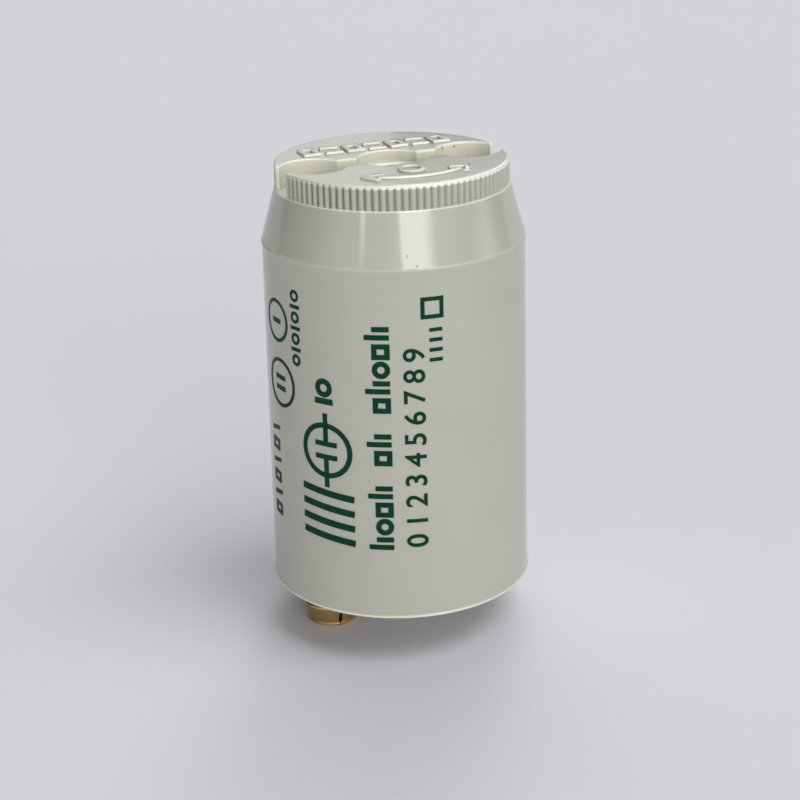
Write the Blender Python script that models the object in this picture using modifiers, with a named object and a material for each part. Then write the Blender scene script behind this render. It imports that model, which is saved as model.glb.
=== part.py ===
"""Glow starter for a fluorescent lamp, built piece by piece.

Metres, +Z up. The origin lies on the floor, midway between the two contact pins that the starter
stands on. X runs through both pins and along the cap's slot, and Z is the canister's axis.
"""
import math

import bmesh
import bpy
from mathutils import Vector

# Clearances
FIT_GAP = 0.00012

# Canister: a tapered body, a cone above the shoulder and a knurled cap
CANISTER_HEIGHT = 0.03504
RIM_RADIUS = 0.01075
SHOULDER_RADIUS = 0.0105
SHOULDER_DROP = 0.00606
SHOULDER_BEAD = 0.00007
SHOULDER_BEAD_HEIGHT = 0.0008
EDGE_BREAK = 0.0001
RIM_ROUND = 0.00025
CANISTER_WALL = 0.0009
ROOF_WALL = 0.0009
CAP_RADIUS = 0.00927
CAP_LEDGE = 0.00006
CAP_EDGE_ROUND = 0.00026
KNURL_HEIGHT = 0.0019
KNURL_DEPTH = 0.0002
FLUTE_COUNT = 102
# Where a ridge starts to round over, as a share of a flute's pitch, and how deep it lies there
FLUTE_SHOULDER = 0.22
FLUTE_SHOULDER_DEPTH = 0.22

# Slot across the cap, with a round pocket at its middle and one near each end
SLOT_WIDTH = 0.0022
SLOT_DEPTH = 0.00185
END_POCKET_RADIUS = 0.00263
END_POCKET_OFFSET = 0.00654
MIDDLE_POCKET_RADIUS = 0.00275
MIDDLE_POCKET_DEPTH = 0.00087

# Raised marks on the cap: a row of frames and bars, and a turning arrow
MARK_HEIGHT = 0.0002
MARK_STROKE = 0.00042
MARK_COUNT = 7
MARK_PITCH = 0.00183
MARK_WIDTH = 0.00148
MARK_LENGTH = 0.00205
MARK_ROW_OFFSET = 0.00402
ARROW_RADIUS = 0.0068
ARROW_SWEEP = math.radians(58.0)
ARROW_HEAD = 0.0018
RING_RADIUS = 0.0011
RING_OFFSET = 0.0044

# Base disc that snaps into the canister's mouth
BASE_RECESS = 0.0005
BASE_THICKNESS = 0.002
BASE_CHAMFER = 0.0003
SNAP_BEAD = 0.00025
SNAP_BEAD_HEIGHT = 0.0009
BOSS_RADIUS = 0.0026
BOSS_HEIGHT = 0.001

# Contact pins, rolled from brass sheet
PIN_SPACING = 0.0127
PIN_REACH = 0.0039
PIN_HEAD_RADIUS = 0.00238
PIN_HEAD_HEIGHT = 0.00185
PIN_HEAD_ROUND = 0.0002
PIN_RIM_RADIUS = 0.00212
PIN_RIM_ROUND = 0.00055
PIN_TIP_HOLE = 0.0009
PIN_SHANK_RADIUS = 0.0015
PIN_SHEET = 0.0004
PIN_FLANGE_RADIUS = 0.0021
PIN_FLANGE_THICKNESS = 0.00035
PIN_SEAM_WIDTH = 0.00014

# Glow bulb, standing on its lead-in wires
BULB_OFFSET = 0.0032
BULB_FOOT = 0.013
BULB_LENGTH = 0.0185
BULB_RADIUS = 0.0042
BULB_WALL = 0.0006
BULB_TIP_RADIUS = 0.0008
BULB_TIP_LENGTH = 0.0014
BULB_DOME_START = 67.5
STEM_FLANGE = 0.0007
STEM_PLUG = 0.0008
STEM_LENGTH = 0.0045
STEM_PRESS_RADIUS = 0.0018

# Electrodes inside the bulb
ELECTRODE_OFFSET = 0.001
ELECTRODE_RADIUS = 0.0004
ELECTRODE_LENGTH = 0.004
ELECTRODE_CHAMFER = 0.00016
LEAD_END = 0.001
BIMETAL_THICKNESS = 0.00018
BIMETAL_WIDTH = 0.0016
BIMETAL_HEIGHT = 0.006
BIMETAL_TAIL = 0.0035
CONTACT_GAP = 0.0008

# Wires and the capacitor across the pins
WIRE_RADIUS = 0.00025
WIRE_END = 0.001
WIRE_STRAIGHT = 0.0005
CAPACITOR_OFFSET = 0.0054
CAPACITOR_FOOT = 0.0125
CAPACITOR_WIDTH = 0.0085
CAPACITOR_THICKNESS = 0.0034
CAPACITOR_HEIGHT = 0.01
CAPACITOR_ROUND = 0.0008
CAPACITOR_LEAD_SPACING = 0.005

# Faces round each turned shape
CANISTER_STEPS = 72
POCKET_STEPS = 48
BASE_STEPS = 48
SMALL_STEPS = 24
# Steps along each arc, and the levels of rounding of a wire's section
BEND_STEPS = 12
DOME_STEPS = 6
EDGE_STEPS = 3
WIRE_LEVELS = 2

# Heights worked out from the sizes above
RIM_Z = PIN_REACH
TOP_Z = RIM_Z + CANISTER_HEIGHT
CONE_TOP_Z = TOP_Z - KNURL_HEIGHT
SHOULDER_Z = TOP_Z - SHOULDER_DROP
SLOT_FLOOR_Z = TOP_Z - SLOT_DEPTH
ROOF_Z = SLOT_FLOOR_Z - ROOF_WALL
BASE_Z = RIM_Z + BASE_RECESS
BASE_TOP_Z = BASE_Z + BASE_THICKNESS
BOSS_TOP_Z = BASE_TOP_Z + BOSS_HEIGHT
FLANGE_Z = BOSS_TOP_Z + FIT_GAP
PIN_TOP_Z = FLANGE_Z + PIN_FLANGE_THICKNESS
STEM_TOP_Z = BULB_FOOT + STEM_LENGTH

# Radii worked out from the sizes above
CONE_TOP_RADIUS = CAP_RADIUS + CAP_LEDGE
MOUTH_RADIUS = RIM_RADIUS - CANISTER_WALL
BASE_RADIUS = MOUTH_RADIUS - FIT_GAP
PIN_BORE = PIN_SHANK_RADIUS - PIN_SHEET
PIN_TIP_RADIUS = PIN_RIM_RADIUS - PIN_RIM_ROUND

# Merging distance of the turned shapes, far below their smallest step
MERGE = 0.000001
# How far a cutter passes the face it cuts through, and a joined piece sinks into its carrier
OVERRUN = 0.0005
SINK = 0.0001


def clear_scene():
    for old in list(bpy.data.objects):
        bpy.data.objects.remove(old)


def new_collection(name):
    collection = bpy.data.collections.new(name)
    bpy.context.scene.collection.children.link(collection)
    return collection


def new_material(name, color, roughness, metallic=0.0, transmission=0.0):
    material = bpy.data.materials.new(name)
    material.use_nodes = True
    material.diffuse_color = (*color, 1.0)
    shader = material.node_tree.nodes["Principled BSDF"]
    shader.inputs["Base Color"].default_value = (*color, 1.0)
    shader.inputs["Roughness"].default_value = roughness
    shader.inputs["Metallic"].default_value = metallic
    shader.inputs["Transmission Weight"].default_value = transmission
    return material


def add_object(name, data, collection, material=None, location=(0, 0, 0)):
    piece = bpy.data.objects.new(name, data)
    collection.objects.link(piece)
    piece.location = location
    if material:
        data.materials.append(material)
    return piece


def arc(centre, radius, start, end, count):
    """Points on an arc in the plane, from one angle to the other in degrees."""
    points = []
    for i in range(count + 1):
        angle = math.radians(start + (end - start) * i / count)
        points.append((centre[0] + radius * math.cos(angle), centre[1] + radius * math.sin(angle)))
    return points


def turned(name, profile, steps, collection, material=None, location=(0, 0, 0)):
    """A solid of revolution. The profile holds (radius, height) points and runs down its outer side.

    A profile that starts and ends on the axis is left open there, and any other one is closed.
    """
    on_axis = abs(profile[0][0]) < MERGE and abs(profile[-1][0]) < MERGE
    count = len(profile)
    edges = [(i, i + 1) for i in range(count - 1)]
    if not on_axis:
        edges.append((count - 1, 0))
    mesh = bpy.data.meshes.new(name)
    mesh.from_pydata([(radius, 0, height) for radius, height in profile], edges, [])
    piece = add_object(name, mesh, collection, material, location)
    screw = piece.modifiers.new("turn", "SCREW")
    screw.steps = steps
    screw.render_steps = steps
    screw.use_merge_vertices = True
    screw.merge_threshold = MERGE
    return piece


def prism(name, outlines, bottom, top, collection):
    """A flat shape given thickness. Each outline is a loop of points, and inner loops are holes."""
    curve = bpy.data.curves.new(name, "CURVE")
    curve.dimensions = "2D"
    curve.fill_mode = "BOTH"
    curve.extrude = (top - bottom) / 2
    for outline in outlines:
        spline = curve.splines.new("POLY")
        spline.points.add(len(outline) - 1)
        for point, (x, y) in zip(spline.points, outline):
            point.co = (x, y, 0, 1)
        spline.use_cyclic_u = True
    flat = add_object(name, curve, collection, None, (0, 0, (bottom + top) / 2))
    return as_mesh(flat, collection)


def as_mesh(source, collection):
    """Replace a curve object with its mesh, with the caps welded on and the faces pointing out."""
    bpy.context.view_layer.update()
    evaluated = source.evaluated_get(bpy.context.evaluated_depsgraph_get())
    mesh = bpy.data.meshes.new_from_object(evaluated)
    shape = bmesh.new()
    shape.from_mesh(mesh)
    bmesh.ops.remove_doubles(shape, verts=shape.verts, dist=MERGE)
    bmesh.ops.recalc_face_normals(shape, faces=shape.faces)
    shape.to_mesh(mesh)
    shape.free()
    name = source.name
    place = source.matrix_world.copy()
    bpy.data.objects.remove(source)
    piece = add_object(name, mesh, collection)
    piece.matrix_world = place
    return piece


def cylinder(name, radius, bottom, top, steps, collection, centre=(0, 0)):
    """An upright cylinder from a primitive, standing at a point of the plane."""
    mesh = bpy.data.meshes.new(name)
    shape = bmesh.new()
    bmesh.ops.create_cone(shape, cap_ends=True, segments=steps, radius1=radius, radius2=radius,
                          depth=top - bottom)
    shape.to_mesh(mesh)
    shape.free()
    return add_object(name, mesh, collection, None, (*centre, (bottom + top) / 2))


def block(name, size, centre, collection, material=None):
    """A box of the given size about a point."""
    mesh = bpy.data.meshes.new(name)
    shape = bmesh.new()
    bmesh.ops.create_cube(shape, size=1.0)
    bmesh.ops.scale(shape, verts=shape.verts, vec=size)
    shape.to_mesh(mesh)
    shape.free()
    return add_object(name, mesh, collection, material, centre)


def combine(piece, other, operation):
    """Join, cut or intersect a piece with a helper shape, which is kept out of the picture."""
    boolean = piece.modifiers.new(operation.lower(), "BOOLEAN")
    boolean.operation = operation
    boolean.solver = "EXACT"
    boolean.object = other
    other.hide_render = True
    other.display_type = "WIRE"


def finish(piece, sharp_angle=25.0):
    """Fix the modifiers' result in the mesh and shade it smooth between its sharp edges."""
    bpy.context.view_layer.update()
    evaluated = piece.evaluated_get(bpy.context.evaluated_depsgraph_get())
    mesh = bpy.data.meshes.new_from_object(evaluated)
    piece.modifiers.clear()
    piece.data = mesh
    mesh.shade_smooth()
    mesh.set_sharp_from_angle(angle=math.radians(sharp_angle))


def wire(name, points, radius, collection, material):
    """A round wire along its centre line's points."""
    curve = bpy.data.curves.new(name, "CURVE")
    curve.dimensions = "3D"
    curve.bevel_depth = radius
    curve.bevel_resolution = WIRE_LEVELS
    curve.use_fill_caps = True
    spline = curve.splines.new("POLY")
    spline.points.add(len(points) - 1)
    for point, place in zip(spline.points, points):
        point.co = (*place, 1)
    return add_object(name, curve, collection, material)


def bend(start, end):
    """Points on an S-bend that leaves its start upright and meets its end upright."""
    points = []
    for i in range(BEND_STEPS + 1):
        t = i / BEND_STEPS
        across = t * t * (3 - 2 * t)
        points.append((start[0] + (end[0] - start[0]) * across, start[1] + (end[1] - start[1]) * across,
                       start[2] + (end[2] - start[2]) * t))
    return points


def body_radius(height):
    """Outer radius of the tapered body at a height."""
    share = (height - RIM_Z) / (SHOULDER_Z - RIM_Z)
    return RIM_RADIUS + (SHOULDER_RADIUS - RIM_RADIUS) * share


def cone_radius(height):
    """Outer radius of the cone at a height."""
    share = (height - SHOULDER_Z) / (CONE_TOP_Z - SHOULDER_Z)
    return SHOULDER_RADIUS + (CONE_TOP_RADIUS - SHOULDER_RADIUS) * share


def snap_profile(radius, gap):
    """The bead on the base disc, or with a gap the groove for it, from bottom to top."""
    middle = BASE_Z + BASE_THICKNESS / 2
    foot = SNAP_BEAD_HEIGHT / 2 + gap
    crest = SNAP_BEAD_HEIGHT / 4 + gap
    return [(radius, middle - foot), (radius + SNAP_BEAD, middle - crest),
            (radius + SNAP_BEAD, middle + crest), (radius, middle + foot)]


def flute_outline():
    """The knurled cap in plan: round ridges with narrow grooves between them."""
    ridge = [(0, 1), (FLUTE_SHOULDER, FLUTE_SHOULDER_DEPTH), (1 / 2, 0),
             (1 - FLUTE_SHOULDER, FLUTE_SHOULDER_DEPTH)]
    points = []
    for i in range(FLUTE_COUNT):
        for phase, depth in ridge:
            radius = CAP_RADIUS - KNURL_DEPTH * depth
            angle = 2 * math.pi * (i + phase) / FLUTE_COUNT
            points.append((radius * math.cos(angle), radius * math.sin(angle)))
    return points


def rectangle(x, y, width, length):
    """Corners of an upright rectangle about a point."""
    half_width, half_length = width / 2, length / 2
    return [(x - half_width, y - half_length), (x + half_width, y - half_length),
            (x + half_width, y + half_length), (x - half_width, y + half_length)]


def mark_outlines():
    """The raised marks: a row beyond the slot, and a ring inside an arrow before it."""
    outlines = []
    inner_width = MARK_WIDTH - 2 * MARK_STROKE
    inner_length = MARK_LENGTH - 2 * MARK_STROKE
    bar_offset = (MARK_LENGTH - MARK_STROKE) / 2
    for i in range(MARK_COUNT):
        x = (i - (MARK_COUNT - 1) / 2) * MARK_PITCH
        if i % 2:
            for y in (MARK_ROW_OFFSET - bar_offset, MARK_ROW_OFFSET + bar_offset):
                outlines.append(rectangle(x, y, MARK_WIDTH, MARK_STROKE))
        else:
            outlines.append(rectangle(x, MARK_ROW_OFFSET, MARK_WIDTH, MARK_LENGTH))
            outlines.append(rectangle(x, MARK_ROW_OFFSET, inner_width, inner_length))
    outlines.append(arrow_outline())
    for radius in (RING_RADIUS, RING_RADIUS - MARK_STROKE):
        outlines.append(arc((0, -RING_OFFSET), radius, 0, 360, SMALL_STEPS)[:-1])
    return outlines


def arrow_outline():
    """A double-headed arrow bent round the cap's axis, with its heads along the arc's tangents."""
    half = math.degrees(ARROW_SWEEP) / 2
    start, end = -90 - half, -90 + half
    outer = arc((0, 0), ARROW_RADIUS + MARK_STROKE / 2, start, end, BEND_STEPS)
    inner = arc((0, 0), ARROW_RADIUS - MARK_STROKE / 2, end, start, BEND_STEPS)
    return outer + arrow_head(end, 1) + inner + arrow_head(start, -1)


def arrow_head(degrees, way):
    """Three corners of an arrow's head. way is 1 at the arc's end and -1 at its start."""
    angle = math.radians(degrees)
    outward = Vector((math.cos(angle), math.sin(angle)))
    forward = Vector((-math.sin(angle), math.cos(angle))) * way
    base = outward * ARROW_RADIUS
    corners = [base + outward * ARROW_HEAD / 2 * way, base + forward * ARROW_HEAD,
               base - outward * ARROW_HEAD / 2 * way]
    return [tuple(corner) for corner in corners]


def make_canister(parts, cutters, material):
    bead_z = SHOULDER_Z - EDGE_BREAK
    bead_foot_z = bead_z - SHOULDER_BEAD_HEIGHT
    round_centre = (RIM_RADIUS - RIM_ROUND, RIM_Z + RIM_ROUND)
    outer = [(0, CONE_TOP_Z), (CONE_TOP_RADIUS, CONE_TOP_Z), (SHOULDER_RADIUS, SHOULDER_Z),
             (SHOULDER_RADIUS + SHOULDER_BEAD, bead_z), (body_radius(bead_foot_z), bead_foot_z)]
    rim = arc(round_centre, RIM_ROUND, 0, -90, EDGE_STEPS)
    groove = snap_profile(MOUTH_RADIUS, FIT_GAP)
    inner = [(MOUTH_RADIUS, RIM_Z)] + groove
    inner += [(SHOULDER_RADIUS - CANISTER_WALL, SHOULDER_Z),
              (cone_radius(ROOF_Z) - CANISTER_WALL, ROOF_Z), (0, ROOF_Z)]
    canister = turned("canister", outer + rim + inner, CANISTER_STEPS, parts, material)

    # The cap is turned with a round edge, and its side then takes the knurl's outline
    blank_radius = CAP_RADIUS + SINK
    edge_centre = (blank_radius - CAP_EDGE_ROUND, TOP_Z - CAP_EDGE_ROUND)
    blank_profile = [(0, TOP_Z)] + arc(edge_centre, CAP_EDGE_ROUND, 90, 0, EDGE_STEPS)
    blank_profile += [(blank_radius, CONE_TOP_Z - SINK), (0, CONE_TOP_Z - SINK)]
    cap = turned("cap_blank", blank_profile, CANISTER_STEPS, cutters)
    flutes = prism("flutes", [flute_outline()], CONE_TOP_Z - OVERRUN, TOP_Z + OVERRUN, cutters)
    combine(cap, flutes, "INTERSECT")
    combine(canister, cap, "UNION")

    marks = prism("marks", mark_outlines(), TOP_Z - SINK, TOP_Z + MARK_HEIGHT, cutters)
    combine(canister, marks, "UNION")

    slot_size = (2 * (CAP_RADIUS + OVERRUN), SLOT_WIDTH, SLOT_DEPTH + OVERRUN)
    slot_centre = (0, 0, SLOT_FLOOR_Z + slot_size[2] / 2)
    combine(canister, block("slot", slot_size, slot_centre, cutters), "DIFFERENCE")
    for side in (-1, 1):
        pocket = cylinder("end_pocket", END_POCKET_RADIUS, SLOT_FLOOR_Z, TOP_Z + OVERRUN, POCKET_STEPS,
                          cutters, (side * END_POCKET_OFFSET, 0))
        combine(canister, pocket, "DIFFERENCE")
    middle = cylinder("middle_pocket", MIDDLE_POCKET_RADIUS, TOP_Z - MIDDLE_POCKET_DEPTH, TOP_Z + OVERRUN,
                      POCKET_STEPS, cutters)
    combine(canister, middle, "DIFFERENCE")
    finish(canister)


def make_base(parts, cutters, material):
    edge = [(0, BASE_TOP_Z), (BASE_RADIUS - BASE_CHAMFER, BASE_TOP_Z),
            (BASE_RADIUS, BASE_TOP_Z - BASE_CHAMFER)]
    edge += list(reversed(snap_profile(BASE_RADIUS, 0)))
    edge += [(BASE_RADIUS, BASE_Z + BASE_CHAMFER), (BASE_RADIUS - BASE_CHAMFER, BASE_Z), (0, BASE_Z)]
    base = turned("base_disc", edge, BASE_STEPS, parts, material)
    for side in (-1, 1):
        centre = (side * PIN_SPACING / 2, 0)
        boss = cylinder("boss", BOSS_RADIUS, BASE_TOP_Z - SINK, BOSS_TOP_Z, SMALL_STEPS, cutters, centre)
        trim = cylinder("boss_trim", BASE_RADIUS - BASE_CHAMFER - SINK, BASE_Z, BOSS_TOP_Z + OVERRUN,
                        BASE_STEPS, cutters)
        combine(boss, trim, "INTERSECT")
        combine(base, boss, "UNION")
    for side in (-1, 1):
        centre = (side * PIN_SPACING / 2, 0)
        hole = cylinder("pin_hole", PIN_SHANK_RADIUS + FIT_GAP, BASE_Z - OVERRUN, BOSS_TOP_Z + OVERRUN,
                        SMALL_STEPS, cutters, centre)
        combine(base, hole, "DIFFERENCE")
    finish(base)


def make_pin(name, side, parts, cutters, material):
    """A hollow pin: head below, shank through the base, and a flange spun over its boss.

    The left pin's seam faces the front and the right pin's the back.
    """
    outer = [(PIN_BORE, PIN_TOP_Z), (PIN_FLANGE_RADIUS, PIN_TOP_Z), (PIN_FLANGE_RADIUS, FLANGE_Z),
             (PIN_SHANK_RADIUS, FLANGE_Z), (PIN_SHANK_RADIUS, PIN_HEAD_HEIGHT),
             (PIN_HEAD_RADIUS - PIN_HEAD_ROUND, PIN_HEAD_HEIGHT),
             (PIN_HEAD_RADIUS, PIN_HEAD_HEIGHT - PIN_HEAD_ROUND)]
    rim = arc((PIN_TIP_RADIUS, PIN_RIM_ROUND), PIN_RIM_ROUND, 0, -90, EDGE_STEPS)
    inner_top = PIN_HEAD_HEIGHT - PIN_SHEET
    inner = [(PIN_TIP_HOLE, 0), (PIN_TIP_HOLE, PIN_SHEET), (PIN_TIP_RADIUS - PIN_SHEET / 2, PIN_SHEET),
             (PIN_RIM_RADIUS - PIN_SHEET, PIN_RIM_ROUND + PIN_SHEET / 2),
             (PIN_HEAD_RADIUS - PIN_SHEET, inner_top - PIN_HEAD_ROUND), (PIN_BORE, inner_top)]
    place = (side * PIN_SPACING / 2, 0, 0)
    pin = turned(name, outer + rim + inner, SMALL_STEPS, parts, material, place)
    reach = PIN_HEAD_RADIUS + OVERRUN
    seam_size = (PIN_SEAM_WIDTH, reach, PIN_TOP_Z + 2 * OVERRUN)
    seam_centre = (place[0], side * reach / 2, PIN_TOP_Z / 2)
    combine(pin, block("seam", seam_size, seam_centre, cutters), "DIFFERENCE")
    finish(pin)


def make_bulb(parts, material):
    """The glass envelope, open below, with a domed end and the tip left where it was sealed off."""
    top = BULB_FOOT + BULB_LENGTH
    inner_radius = BULB_RADIUS - BULB_WALL
    dome_centre = (0, top - BULB_RADIUS)
    tip_centre = (0, top + BULB_TIP_LENGTH - BULB_TIP_RADIUS)
    tip = arc(tip_centre, BULB_TIP_RADIUS, 90, 0, EDGE_STEPS)
    dome = arc(dome_centre, BULB_RADIUS, BULB_DOME_START, 0, DOME_STEPS)
    inner = [(inner_radius, BULB_FOOT)] + arc(dome_centre, inner_radius, 0, 90, DOME_STEPS)
    profile = tip + dome + [(BULB_RADIUS, BULB_FOOT)] + inner
    bulb = turned("glow_bulb_envelope", profile, SMALL_STEPS, parts, material, (0, BULB_OFFSET, 0))
    finish(bulb)


def make_stem(parts, cutters, material):
    """The pressed glass stem that closes the envelope, with a hole for each lead-in wire."""
    flange_top = BULB_FOOT - FIT_GAP
    plug_radius = BULB_RADIUS - BULB_WALL - FIT_GAP
    plug_top = BULB_FOOT + STEM_PLUG
    profile = [(0, STEM_TOP_Z), (STEM_PRESS_RADIUS, STEM_TOP_Z), (STEM_PRESS_RADIUS, plug_top + STEM_PLUG),
               (plug_radius, plug_top), (plug_radius, flange_top), (BULB_RADIUS, flange_top),
               (BULB_RADIUS, flange_top - STEM_FLANGE), (0, flange_top - STEM_FLANGE)]
    stem = turned("glow_bulb_stem", profile, SMALL_STEPS, parts, material, (0, BULB_OFFSET, 0))
    for side in (-1, 1):
        centre = (side * ELECTRODE_OFFSET, BULB_OFFSET)
        hole = cylinder("wire_hole", WIRE_RADIUS + FIT_GAP, flange_top - STEM_FLANGE - OVERRUN,
                        STEM_TOP_Z + OVERRUN, SMALL_STEPS // 2, cutters, centre)
        combine(stem, hole, "DIFFERENCE")
    finish(stem)


def make_bimetal(parts, material):
    """A strip bent into a hook. Its foot stands beside lead-in wire a, its tail beside the electrode."""
    half = BIMETAL_THICKNESS / 2
    foot_x = -ELECTRODE_OFFSET - WIRE_RADIUS - FIT_GAP - half
    tail_x = ELECTRODE_OFFSET + ELECTRODE_RADIUS + CONTACT_GAP + half
    bow = (tail_x - foot_x) / 2
    bow_z = STEM_TOP_Z + FIT_GAP + BIMETAL_HEIGHT
    path = [(foot_x, STEM_TOP_Z + FIT_GAP)] + arc((foot_x + bow, bow_z), bow, 180, 0, BEND_STEPS)
    path.append((tail_x, bow_z - BIMETAL_TAIL))
    rows = []
    for y in (BULB_OFFSET - BIMETAL_WIDTH / 2, BULB_OFFSET + BIMETAL_WIDTH / 2):
        rows.append([(x, y, z) for x, z in path])
    count = len(path)
    faces = [(i, i + 1, count + i + 1, count + i) for i in range(count - 1)]
    mesh = bpy.data.meshes.new("bimetal_strip")
    mesh.from_pydata(rows[0] + rows[1], [], faces)
    strip = add_object("bimetal_strip", mesh, parts, material)
    thicken = strip.modifiers.new("thickness", "SOLIDIFY")
    thicken.thickness = BIMETAL_THICKNESS
    thicken.offset = 0
    finish(strip)


def make_electrode(parts, material):
    """The fixed electrode, standing on the end of lead-in wire b."""
    foot = STEM_TOP_Z + LEAD_END + FIT_GAP
    top = foot + ELECTRODE_LENGTH
    profile = [(0, top), (ELECTRODE_RADIUS - ELECTRODE_CHAMFER, top),
               (ELECTRODE_RADIUS, top - ELECTRODE_CHAMFER), (ELECTRODE_RADIUS, foot), (0, foot)]
    electrode = turned("fixed_electrode", profile, SMALL_STEPS // 2, parts, material,
                       (ELECTRODE_OFFSET, BULB_OFFSET, 0))
    finish(electrode)


def make_lead_in(name, side, parts, material):
    """From inside a pin, up its bore, over to the stem and through it into the bulb."""
    in_bore = PIN_BORE - WIRE_RADIUS - FIT_GAP
    pin_x = side * PIN_SPACING / 2
    stem_x = side * ELECTRODE_OFFSET
    stem_foot = BULB_FOOT - FIT_GAP - STEM_FLANGE
    start = (pin_x, in_bore, PIN_TOP_Z + WIRE_STRAIGHT)
    end = (stem_x, BULB_OFFSET, stem_foot - WIRE_STRAIGHT)
    points = [(pin_x, in_bore, WIRE_END)] + bend(start, end)
    points.append((stem_x, BULB_OFFSET, STEM_TOP_Z + LEAD_END))
    wire(name, points, WIRE_RADIUS, parts, material)


def make_capacitor(parts, material):
    size = (CAPACITOR_WIDTH, CAPACITOR_THICKNESS, CAPACITOR_HEIGHT)
    centre = (0, -CAPACITOR_OFFSET, CAPACITOR_FOOT + CAPACITOR_HEIGHT / 2)
    body = block("capacitor_body", size, centre, parts, material)
    rounding = body.modifiers.new("rounding", "BEVEL")
    rounding.width = CAPACITOR_ROUND
    rounding.segments = EDGE_STEPS
    finish(body)


def make_capacitor_lead(name, side, parts, material):
    """From inside a pin, up its bore on the other side and over to the capacitor's foot."""
    in_bore = -(PIN_BORE - WIRE_RADIUS - FIT_GAP)
    pin_x = side * PIN_SPACING / 2
    end_x = side * CAPACITOR_LEAD_SPACING / 2
    end_z = CAPACITOR_FOOT - FIT_GAP
    start = (pin_x, in_bore, PIN_TOP_Z + WIRE_STRAIGHT)
    end = (end_x, -CAPACITOR_OFFSET, end_z - WIRE_STRAIGHT)
    points = [(pin_x, in_bore, WIRE_END)] + bend(start, end)
    points.append((end_x, -CAPACITOR_OFFSET, end_z))
    wire(name, points, WIRE_RADIUS, parts, material)


clear_scene()
parts = new_collection("fluorescent_starter")
cutters = new_collection("cutters")

housing_plastic = new_material("housing_plastic", (0.47, 0.48, 0.41), 0.38)
base_plastic = new_material("base_plastic", (0.55, 0.55, 0.50), 0.5)
brass = new_material("brass", (0.60, 0.43, 0.20), 0.35, metallic=1.0)
bulb_glass = new_material("bulb_glass", (0.90, 0.94, 0.92), 0.05, transmission=1.0)
bimetal = new_material("bimetal", (0.50, 0.49, 0.47), 0.3, metallic=1.0)
tinned_wire = new_material("tinned_wire", (0.66, 0.65, 0.63), 0.3, metallic=1.0)
capacitor_resin = new_material("capacitor_resin", (0.45, 0.16, 0.05), 0.35)

make_canister(parts, cutters, housing_plastic)
make_base(parts, cutters, base_plastic)
make_pin("contact_pin_left", -1, parts, cutters, brass)
make_pin("contact_pin_right", 1, parts, cutters, brass)
make_bulb(parts, bulb_glass)
make_stem(parts, cutters, bulb_glass)
make_bimetal(parts, bimetal)
make_electrode(parts, tinned_wire)
make_lead_in("lead_in_wire_a", -1, parts, tinned_wire)
make_lead_in("lead_in_wire_b", 1, parts, tinned_wire)
make_capacitor(parts, capacitor_resin)
make_capacitor_lead("capacitor_lead_a", -1, parts, tinned_wire)
make_capacitor_lead("capacitor_lead_b", 1, parts, tinned_wire)
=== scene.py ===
"""The looks of a glow starter for a fluorescent lamp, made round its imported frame."""
import math

import bmesh
import bpy
import numpy as np
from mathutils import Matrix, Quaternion


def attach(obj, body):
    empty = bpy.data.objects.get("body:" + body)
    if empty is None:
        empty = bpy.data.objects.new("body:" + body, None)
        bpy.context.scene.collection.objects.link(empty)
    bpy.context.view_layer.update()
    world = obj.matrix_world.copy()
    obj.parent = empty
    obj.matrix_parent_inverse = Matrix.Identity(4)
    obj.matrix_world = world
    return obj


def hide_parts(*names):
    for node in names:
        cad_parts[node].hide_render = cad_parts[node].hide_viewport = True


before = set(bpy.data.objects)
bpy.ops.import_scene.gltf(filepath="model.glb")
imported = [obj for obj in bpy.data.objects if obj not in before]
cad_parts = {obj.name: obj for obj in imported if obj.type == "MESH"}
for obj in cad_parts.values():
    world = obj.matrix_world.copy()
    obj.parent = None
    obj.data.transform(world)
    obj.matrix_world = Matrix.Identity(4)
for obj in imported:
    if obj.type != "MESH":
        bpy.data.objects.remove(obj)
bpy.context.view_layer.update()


# Canister: one moulding in semi-gloss cream plastic. Its tapered body ends in a soft bead, and a
# cone above that carries the knurled cap, which has a slot across it with three round pockets.
# Its open mouth has a groove inside, where the base disc snaps in.
RIM_Z = 0.0039
RIM_RADIUS = 0.01075
RIM_ROUND = 0.00012
LIP_PROUD = 0.00006
LIP_HEIGHT = 0.0002
WALL = 0.0009
MOUTH_RADIUS = RIM_RADIUS - WALL
GROOVE_DEPTH = 0.00025
GROOVE_Z = 0.0054
GROOVE_HALF_WIDTH = 0.00057
SHOULDER_Z = 0.03288
SHOULDER_RADIUS = 0.0105
BEAD_PROUD = 0.00007
BEAD_TOP_Z = SHOULDER_Z - 0.0001
BEAD_FOOT_Z = SHOULDER_Z - 0.0009
CONE_TOP_Z = 0.03704
CONE_TOP_RADIUS = 0.00933
ROOF_Z = 0.03619
TOP_Z = 0.03894
CAP_RADIUS = 0.00927
CAP_EDGE_ROUND = 0.00026
FLUTE_COUNT = 102
FLUTE_DEPTH = 0.00023
FLUTE_SAMPLES = 10
FLUTE_FADE_START = 0.00006
FLUTE_FADE_LENGTH = 0.00024
SLOT_HALF_WIDTH = 0.0011
SLOT_EDGE_ROUND = 0.000085
SLOT_CORNER_ROUND = 0.0003
END_POCKET_RADIUS = 0.00263
END_POCKET_OFFSET = 0.00654
MIDDLE_POCKET_RADIUS = 0.00275
MIDDLE_POCKET_DEPTH = 0.00087
POCKET_STEP_ROUND = 0.00005
POCKET_STEP_SHARE = 0.3
CORNER_SOFTNESS = 0.00006
BODY_COUNT = 240
FLOOR_COLUMNS = 9
TOP_ROWS = 7
EDGE_ROWS = 8
SLOT_SAMPLES = 6001
LOW_WALL_DEPTH = 0.0014
HIGH_WALL_DEPTHS = (0.0006, 0.00042, 0.00033)
WIDE_ROUND_REACH = 0.0012
FULL_FLUTE_REACH = 0.0003
GROOVE_POWER = 1.15
ROOF_INSET_SHARE = 0.8
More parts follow.
